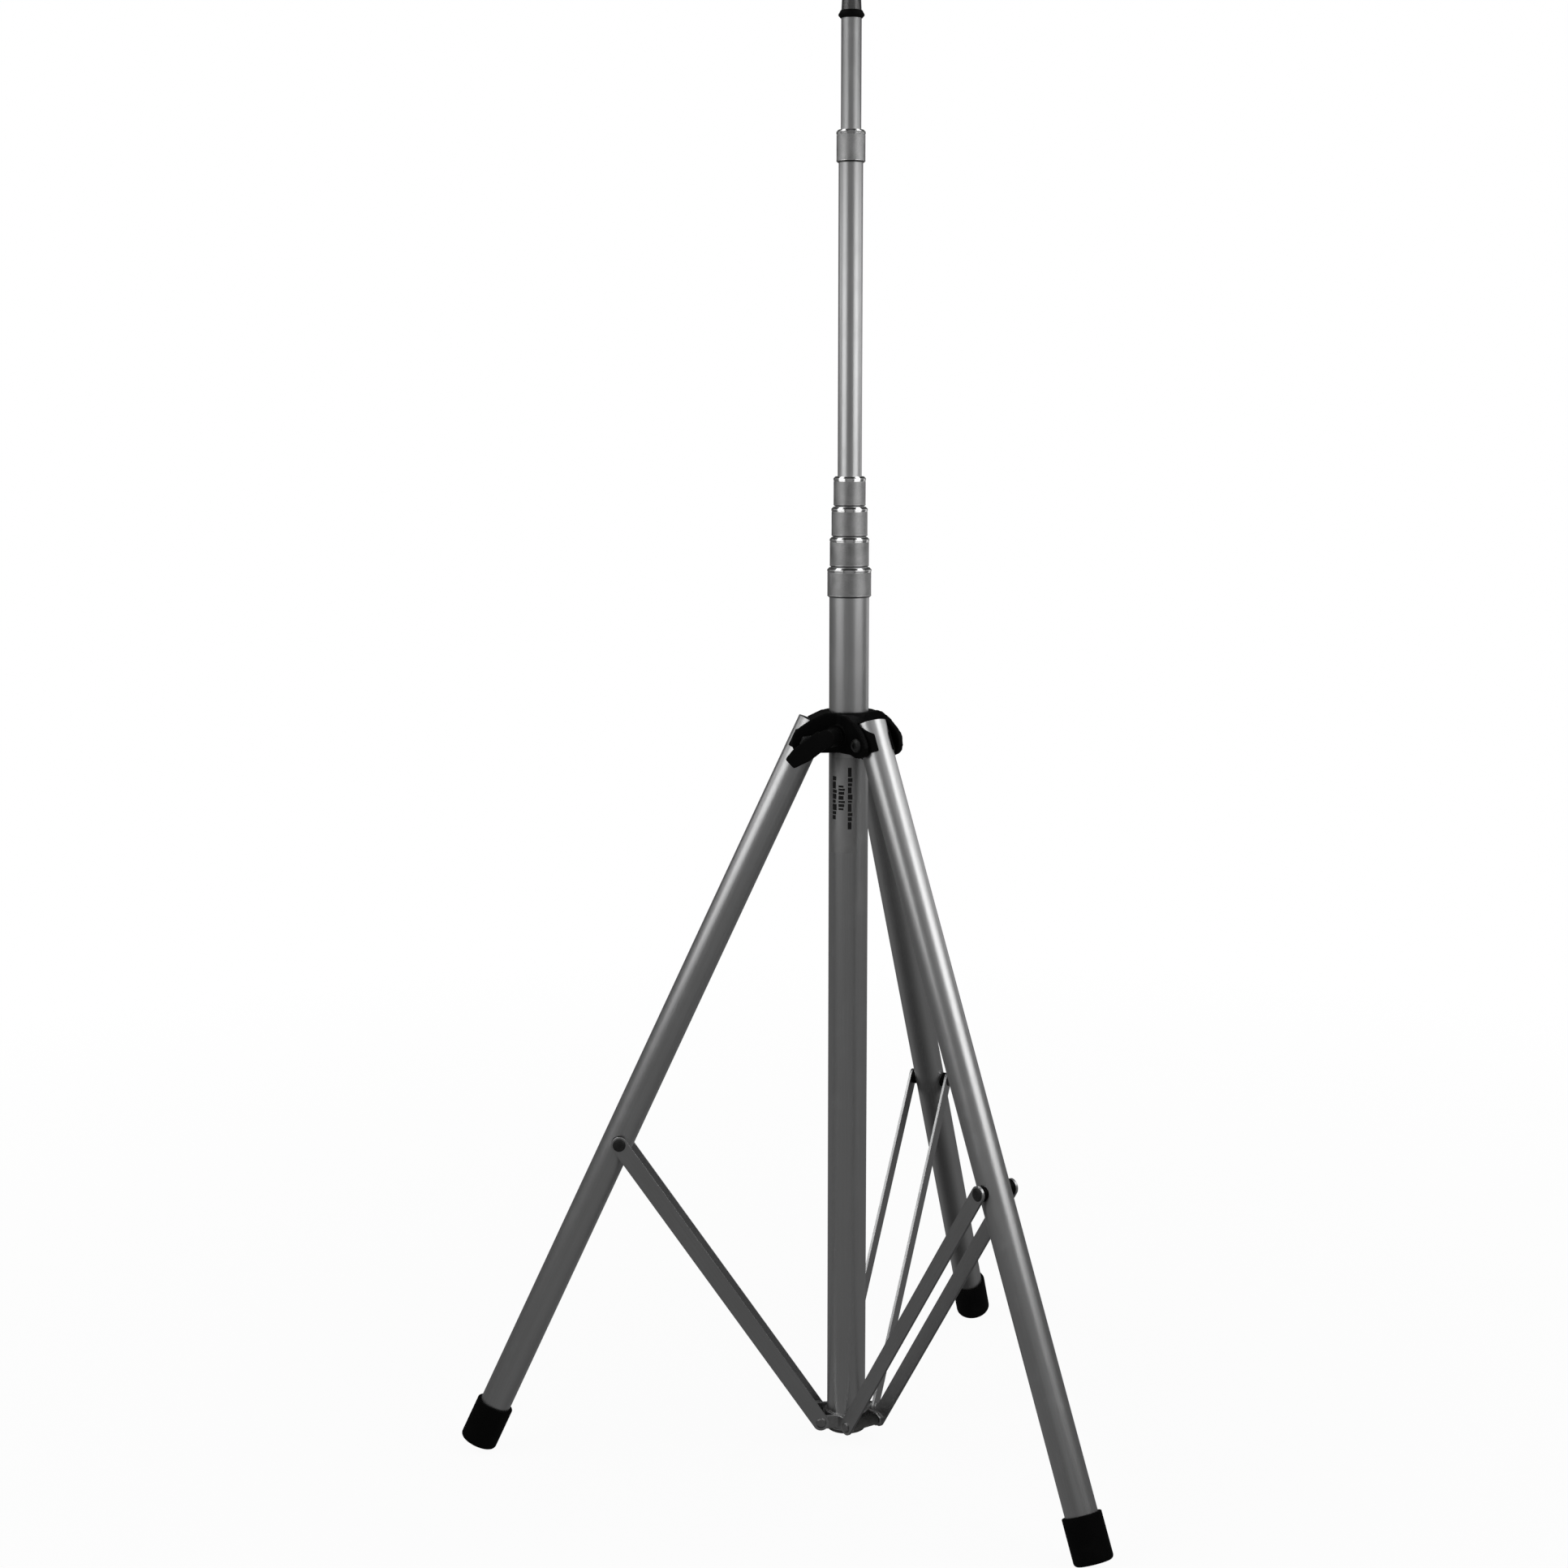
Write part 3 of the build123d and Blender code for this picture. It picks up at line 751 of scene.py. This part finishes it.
_, fitting_high, fitting_r = reach("top_fitting")
stud_low = fitting_high - THREAD_LENGTH
shoulder = stud_low - ADAPTER_HEIGHT
spigot_r = fitting_r - ADAPTER_SPIGOT_INSET
core_r = THREAD_R - THREAD_DEPTH - CORE_INSET
core_top = fitting_high - CORE_INSET
adapter_corners = [
    (AXIS_R, shoulder - ADAPTER_SPIGOT, 0),
    (spigot_r, shoulder - ADAPTER_SPIGOT, 0.5),
    (spigot_r, shoulder, 0),
    (fitting_r, shoulder, 0.3),
    *((fitting_r - depth, shoulder + up, 0.2) for depth, up in ADAPTER_GROOVE),
    (fitting_r - ADAPTER_TOP_INSET, stud_low, 0.7),
    (core_r, stud_low, 0),
    (core_r, core_top, 0.8),
    (AXIS_R, core_top, 0),
]
adapter = skin("adapter", rounded(adapter_corners, 3))
stud = stud_mesh("stud", THREAD_R, stud_low, fitting_high)
fitting = joined("top_adapter", [(adapter, UPRIGHT), (stud, UPRIGHT)])
add_piece("top_adapter", fitting, UPRIGHT, "section_6", [DARK_FITTING], ["top_fitting"])

low, high, radius = reach("bumper_ring")
inner = reach("tube_6")[2]
middle = (low + high) / 2
ring_corners = [
    (inner + RUBBER_SEAT, low + RING_INSET, 0),
    (inner + RING_SHOULDER, low + RING_INSET, 0.25),
    (radius, middle - RING_HALF_FLAT, 1.0),
    (radius, middle + RING_HALF_FLAT, 1.0),
    (inner + RING_SHOULDER, high, 0.25),
    (inner + RUBBER_SEAT, high, 0),
]
mesh = skin("top_ring", rounded(ring_corners))
add_piece("top_ring", mesh, UPRIGHT, "section_6", [FOOT_RUBBER], ["bumper_ring"])

plug_low, plug_high, plug_r = reach("mast_plug")
flange_top = reach("tube_1")[0]
plug_corners = [
    (AXIS_R, plug_low, 0),
    (plug_r, plug_low, 1.0),
    (plug_r, flange_top, 0.2),
    (plug_r - TUBE_WALL, flange_top, 0),
    (plug_r - TUBE_WALL, plug_high, 1.0),
    (AXIS_R, plug_high, 0),
]
mesh = skin("mast_foot", rounded(plug_corners), closed=False)
add_piece("mast_foot", mesh, UPRIGHT, "mast_base", [GREY_PLASTIC], ["mast_plug"])


def wrapped(name, radius, thickness, sides, low, high):
    """Thin patch wrapped round the mast between two azimuths and two heights."""
    steps = max(2, math.ceil(abs(sides[1] - sides[0]) / LABEL_FACET))
    stations = []
    for k in range(steps + 1):
        angle = math.radians(sides[0] + (sides[1] - sides[0]) * k / steps)
        section = ((radius, low), (radius + thickness, low), (radius + thickness, high), (radius, high))
        stations.append([(r * math.cos(angle), r * math.sin(angle), z) for r, z in section])
    return lofted(name, stations)


mast_r = reach("tube_1")[2]
mesh = wrapped("care_label", mast_r, LABEL_THICKNESS, LABEL_SIDES, LABEL_LOW, LABEL_HIGH)
add_piece("care_label", mesh, UPRIGHT, "mast_base", [LABEL_FOIL], weighted=False)

marks = []
for azimuth, low, width, lengths in MARK_COLUMNS:
    half_turn = math.degrees(width / 2 / mast_r)
    for row, length in enumerate(lengths):
        sides = (azimuth - half_turn, azimuth + half_turn * MARK_REACH[row % len(MARK_REACH)])
        mark = wrapped("mark", mast_r + LABEL_THICKNESS, MARK_THICKNESS, sides, low, low + length)
        marks.append((mark, UPRIGHT))
        low += length + MARK_GAP
mesh = joined("label_marks", marks)
add_piece("label_marks", mesh, UPRIGHT, "mast_base", [LABEL_INK], weighted=False)

# ---------------------------------------------------------------- legs


def leg_place(k):
    """Where leg k's own axes stand: origin on its hinge, +Z up the leg, +X outward."""
    hinge = Vector(joint(f"leg_{k}_fold")["pos_m"])
    up_leg = hinge - Vector(centre(f"brace_pin_{k}"))
    return stand_at(hinge, up_leg, (hinge.x, hinge.y, 0))


def column(place, axis):
    """One of a placement's own axes, in the part's frame."""
    return place.col[axis].to_3d()


def saddle_top(angle):
    """Height of the saddle's upper edge, its corners eased."""
    spread = [SADDLE_R * math.cos(angle + math.radians(step)) for step in SADDLE_EASE]
    return float(np.interp(spread, SADDLE_TOP_X, SADDLE_TOP_Z).mean())


def saddle_section(angle, inset):
    """Cut through the saddle's shell at an angle round the leg."""
    top = saddle_top(angle) - inset
    corners = [
        (SADDLE_INNER_R + inset / 2, SADDLE_LOW + inset, 0.1),
        (SADDLE_R - inset, SADDLE_LOW + inset, 0.5),
        (SADDLE_R - inset, top, 0.5),
        (SADDLE_INNER_R + inset / 2, top, 0.1),
    ]
    return [(r * math.cos(angle), r * math.sin(angle), z) for r, z in rounded(corners, 3)]


def saddle_mesh(name):
    """Shell round the leg at its pivot, open on the outward side."""
    edge = math.asin(SADDLE_HALF_SLOT / SADDLE_R)
    start = edge + SADDLE_EDGE / SADDLE_R
    stations = [saddle_section(edge, SADDLE_EDGE)]
    for k in range(SADDLE_STEPS + 1):
        stations.append(saddle_section(start + 2 * (math.pi - start) * k / SADDLE_STEPS, 0))
    stations.append(saddle_section(-edge, SADDLE_EDGE))
    return lofted(name, stations)


def foot_mesh(name, outer_r, inner_r, low, high):
    """Rubber cap: thick floor, rounded sole, softened lip."""
    rings = rounded(
        [
            (AXIS_R, low, 0),
            (outer_r, low, FOOT_ROUND),
            (outer_r, high, FOOT_LIP),
            (inner_r, high, 0.4),
            (inner_r, low + FOOT_FLOOR, 0),
        ],
        6,
    )
    return skin(name, rings, steps=80, closed=False)


LEG_PLACES = {k: leg_place(k) for k in LEGS}
for k, place in LEG_PLACES.items():
    body = f"leg_{k}"
    hinge = place.translation
    low, high, radius = reach(f"leg_tube_{k}", hinge, column(place, Z))
    mesh = tube_mesh(f"leg_pole_{k}", radius, LEG_WALL, low, high)
    add_piece(f"leg_pole_{k}", mesh, place, body, [TUBE_METAL], [f"leg_tube_{k}"])

    low, high, outer_r = reach(f"foot_cap_{k}", hinge, column(place, Z))
    mesh = foot_mesh(f"foot_{k}", outer_r, radius + RUBBER_SEAT, low, high)
    add_piece(f"foot_{k}", mesh, place, body, [FOOT_RUBBER], [f"foot_cap_{k}"])

    mesh = saddle_mesh(f"saddle_{k}")
    add_piece(f"saddle_{k}", mesh, place, body, [HUB_PLASTIC], [f"leg_saddle_{k}"])

    crossing = Matrix.Translation(centre(f"brace_pin_{k}")) @ place.to_3x3().to_4x4()
    node = f"brace_spacers_{k}"
    _, end, outer_r = reach(node, crossing.translation, column(place, Y))
    corners = [(PIN_R, SPACER_START, 0), (outer_r, SPACER_START, 0), (outer_r, end, 0.6), (PIN_R, end, 0)]
    mesh = joined(f"spacers_{k}", both_ways(skin("spacer", rounded(corners), steps=56)))
    add_piece(f"spacers_{k}", mesh, crossing, body, [HUB_PLASTIC], [node])

# ---------------------------------------------------------------- hub

mesh = moulded("hub_moulding", "hub_body", *HUB_SOFTENING)
add_piece("hub_moulding", mesh, UPRIGHT, "hub", [HUB_PLASTIC], ["hub_body"])

mesh = moulded("lever_moulding", "clamp_lever", *LEVER_SOFTENING)
add_piece("lever_moulding", mesh, UPRIGHT, "clamp", [HUB_PLASTIC], ["clamp_lever"])


def socket_head(radius, start, end):
    """Shank and domed head with a hexagon socket, drawn along +Z from the middle plane."""
    rings = rounded(
        [
            (PIVOT_R, 0, 0),
            (PIVOT_R, start, 0),
            (radius, start, 0.3),
            (radius, start + PIVOT_HEAD_SIDE, 1.2),
            (radius * PIVOT_HEAD_FLAT, end, 1.0),
            (SOCKET_APOTHEM * SOCKET_MOUTH, end, 0),
        ],
        5,
    )
    rings.append((hexagon(SOCKET_APOTHEM), end - SOCKET_LIP))
    rings.append((hexagon(SOCKET_APOTHEM), end - SOCKET_DEPTH))
    return skin("socket_head", rings, steps=72, closed=False)


def lock_nut(apothem, start, end):
    """Hexagon nut with a rounded collar and the bolt's end inside it."""
    narrower, higher = NUT_CHAMFER
    rings = [
        (PIVOT_R, start),
        (hexagon(apothem - narrower), start),
        (hexagon(apothem), start + higher),
        (hexagon(apothem), end - NUT_FLATS_END),
    ]
    rings += [(apothem * share, end - depth) for share, depth in NUT_COLLAR]
    rings += [(PIVOT_R + wider, end - depth) for wider, depth in NUT_BORE]
    return skin("lock_nut", rings, steps=72, closed=False)


def sideways(spot, k, sign):
    """Puts a mesh drawn along +Z on a cross pivot of leg k, pointing to one side."""
    place = LEG_PLACES[k]
    return stand_at(spot, column(place, Y) * sign, column(place, X))


bolts = []
nuts = []
for k in LEGS:
    spot = LEG_PLACES[k].translation
    bolts.append((socket_head(PIVOT_HEAD_R, EAR_FACE, PIVOT_END), sideways(spot, k, -1)))
    nuts.append((lock_nut(PIVOT_HEAD_R, EAR_FACE, PIVOT_END), sideways(spot, k, 1)))
mesh = joined("pivot_bolts", bolts)
add_piece("pivot_bolts", mesh, UPRIGHT, "hub", [BLACK_STEEL], ["leg_pivot_bolts"])
mesh = joined("pivot_nuts", nuts)
add_piece("pivot_nuts", mesh, UPRIGHT, "hub", [BLACK_STEEL], ["leg_pivot_nuts"])

# ---------------------------------------------------------------- braces


def brace_place(k, side):
    """Origin on the spider's pivot, +Z out through the bar's face on that side, +Y up the bar."""
    pivot = Vector(joint(f"brace_{k}_fold")["pos_m"])
    along = (centre(f"brace_heads_{k}") - pivot).normalized()
    outward = column(LEG_PLACES[k], Y) * side
    return stand_at(pivot, outward, along.cross(outward))


def bar_outline(low, high):
    """Flat bar with fully rounded ends."""
    half = BAR_WIDTH / 2
    outline = []
    for first, middle in ((0.0, high - half), (math.pi, low + half)):
        for s in range(BAR_END_STEPS + 1):
            angle = first + math.pi * s / BAR_END_STEPS
            outline.append((half * math.cos(angle), middle + half * math.sin(angle)))
    return outline


def rivet_head(radius, shank, start, end):
    """Low domed head on its shank, drawn along +Z from the middle plane."""
    rise = end - start
    rings = rounded(
        [
            (shank, start - RIVET_SHANK, 0),
            (shank, start, 0),
            (radius, start, 0.15),
            (radius, start + rise * RIVET_SIDE, rise * RIVET_EDGE),
            (radius * RIVET_FLAT, end, 1.5),
            (RIVET_AXIS_R, end, 0),
        ],
        5,
    )
    return skin("rivet_head", rings, steps=56, closed=False)


for k in LEGS:
    body = f"braces_{k}"
    for side, node in ((1, f"brace_left_{k}"), (-1, f"brace_right_{k}")):
        place = brace_place(k, side)
        inner_face, outer_face, _ = reach(node, place.translation, column(place, Z))
        low, high, _ = reach(node, place.translation, column(place, Y))
        mesh = plate(f"{node}_bar", bar_outline(low, high), inner_face, outer_face, BAR_EDGE)
        add_piece(f"{node}_bar", mesh, place, body, [BAR_METAL], [node])
    node = f"brace_heads_{k}"
    spot = Matrix.Translation(centre(node)) @ LEG_PLACES[k].to_3x3().to_4x4()
    head_end = reach(node, spot.translation, column(spot, Y))[1]
    head = rivet_head(BRACE_HEAD_R, PIN_R, outer_face, head_end)
    mesh = joined(f"brace_knobs_{k}", both_ways(head))
    add_piece(f"brace_knobs_{k}", mesh, spot, body, [BLACK_STEEL], [node])

# ---------------------------------------------------------------- spider

mesh = moulded("spider_bracket", "spider", *SPIDER_SOFTENING)
add_piece("spider_bracket", mesh, UPRIGHT, "mast_base", [BRACKET_METAL], ["spider"])

rivets = []
rolls = []
roll = rounded([(PIN_R, 0, 0), (PIN_R, ROLL_END, 0), (ROLL_R, ROLL_END, 0.6), (ROLL_R, 0, 0)])
for k in LEGS:
    spot = Vector(joint(f"brace_{k}_fold")["pos_m"])
    for side in (1, -1):
        rivet = rivet_head(SPIDER_HEAD_R, PIN_R, *SPIDER_HEAD_SPAN)
        rivets.append((rivet, sideways(spot, k, side)))
        rolls.append((skin("roll", roll, steps=48), sideways(spot, k, side)))
mesh = joined("spider_pins", rivets)
add_piece("spider_pins", mesh, UPRIGHT, "mast_base", [PLATED_STEEL], ["spider_rivets"])
mesh = joined("spider_spools", rolls)
add_piece("spider_spools", mesh, UPRIGHT, "mast_base", [GREY_PLASTIC], ["spider_rolls"])

# ---------------------------------------------------------------- pieces kept as the CAD has them


def repaint(node, material):
    """Gives a CAD node that is shown as it is its own finish."""
    mesh = frame["nodes"][node].data
    mesh.materials.clear()
    mesh.materials.append(material)


for i in COLLARS:
    repaint(f"collet_{i}", NYLON)
    repaint(f"guide_bush_{i + 1}", NYLON)
for k in LEGS:
    repaint(f"brace_pin_{k}", PLATED_STEEL)
    repaint(f"leg_sleeve_{k}", PLATED_STEEL)
repaint("clamp_pad", NYLON)
repaint("clamp_screw", BLACK_STEEL)

# ---------------------------------------------------------------- stage


def make_world():
    """White to the camera, a dim grey studio to everything else."""
    world = bpy.data.worlds.new("studio")
    bpy.context.scene.world = world
    world.use_nodes = True
    tree = world.node_tree
    tree.nodes.clear()
    seen = tree.nodes.new("ShaderNodeBackground")
    seen.inputs["Color"].default_value = (1, 1, 1, 1)
    seen.inputs["Strength"].default_value = 1.0
    room = tree.nodes.new("ShaderNodeBackground")
    room.inputs["Color"].default_value = (1, 1, 1, 1)
    towards = tree.nodes.new("ShaderNodeTexCoord")
    split = tree.nodes.new("ShaderNodeSeparateXYZ")
    tree.links.new(towards.outputs["Generated"], split.inputs[0])
    walls = tree.nodes.new("ShaderNodeMath")
    walls.operation = "MULTIPLY"
    for i, span in enumerate(ROOM_SPANS):
        ramp = tree.nodes.new("ShaderNodeMapRange")
        for socket, value in zip(RANGE_SOCKETS, span):
            ramp.inputs[socket].default_value = value
        tree.links.new(split.outputs["Z"], ramp.inputs["Value"])
        tree.links.new(ramp.outputs["Result"], walls.inputs[i])
    tree.links.new(walls.outputs[0], room.inputs["Strength"])
    path = tree.nodes.new("ShaderNodeLightPath")
    mix = tree.nodes.new("ShaderNodeMixShader")
    out = tree.nodes.new("ShaderNodeOutputWorld")
    tree.links.new(path.outputs["Is Camera Ray"], mix.inputs["Fac"])
    tree.links.new(room.outputs[0], mix.inputs[1])
    tree.links.new(seen.outputs[0], mix.inputs[2])
    tree.links.new(mix.outputs[0], out.inputs["Surface"])


def softbox(name, azimuth, distance, height, width, tall, strength, aim):
    """Area light at an azimuth round the mast, aimed at a height on it."""
    light = bpy.data.lights.new(name, "AREA")
    light.shape = "RECTANGLE"
    light.size = width
    light.size_y = tall
    light.energy = strength * width * tall * math.pi
    lamp = bpy.data.objects.new(name, light)
    bpy.context.scene.collection.objects.link(lamp)
    angle = math.radians(azimuth)
    spot = Vector((distance * math.cos(angle), distance * math.sin(angle), height))
    lamp.location = spot
    lamp.rotation_mode = "QUATERNION"
    lamp.rotation_quaternion = (Vector((0, 0, aim)) - spot).to_track_quat("-Z", "Y")


def make_camera():
    """The viewing angle: about a third of a metre above the hub, looking slightly down."""
    camera = bpy.data.objects.new("camera", bpy.data.cameras.new("camera"))
    bpy.context.scene.collection.objects.link(camera)
    camera.data.lens = CAMERA_LENS
    camera.data.sensor_width = CAMERA_SENSOR
    where = math.radians(CAMERA_AZIMUTH)
    heading = math.radians(CAMERA_HEADING)
    pitch = math.radians(CAMERA_PITCH)
    level = math.cos(pitch)
    ahead = Vector((math.cos(heading) * level, math.sin(heading) * level, -math.sin(pitch)))
    camera.rotation_mode = "QUATERNION"
    camera.rotation_quaternion = ahead.to_track_quat("-Z", "Y")
    camera.location = (
        CAMERA_DISTANCE * math.cos(where),
        CAMERA_DISTANCE * math.sin(where),
        CAMERA_HEIGHT,
    )
    bpy.context.scene.camera = camera


def make_floor():
    """Pale floor that goes over to plain white far from the stand."""
    mesh = bpy.data.meshes.new("floor")
    shape = bmesh.new()
    bmesh.ops.create_circle(shape, cap_ends=True, segments=FLOOR_STEPS, radius=FLOOR_R)
    shape.to_mesh(mesh)
    shape.free()
    floor = bpy.data.objects.new("floor", mesh)
    bpy.context.scene.collection.objects.link(floor)
    paint = Paint("pale_floor", Roughness=0.9, Specular_IOR_Level=0.0)
    grain = paint.noise(9.0, detail=4.0)
    paint.set("Base Color", paint.colour(grain, grey(0.84), grey(0.87)))
    tree = paint.tree
    far = paint.add("ShaderNodeVectorMath", operation="LENGTH")
    paint.put(far.inputs[0], paint.place)
    fade = paint.between(far.outputs["Value"], FLOOR_FADE, (FLOOR_GLOW, 1.0))
    white = paint.add("ShaderNodeEmission")
    mix = paint.add("ShaderNodeMixShader")
    paint.put(mix.inputs["Fac"], fade)
    tree.links.new(paint.shader.outputs[0], mix.inputs[1])
    tree.links.new(white.outputs[0], mix.inputs[2])
    tree.links.new(mix.outputs[0], tree.nodes["Material Output"].inputs["Surface"])
    mesh.materials.append(paint.material)
    floor.visible_glossy = False


make_world()
make_camera()
make_floor()
for name, turn, distance, height, width, tall, strength, aim in SOFTBOXES:
    softbox(name, CAMERA_AZIMUTH + turn, distance, height, width, tall, strength, aim)
bpy.context.scene.view_settings.view_transform = "Standard"
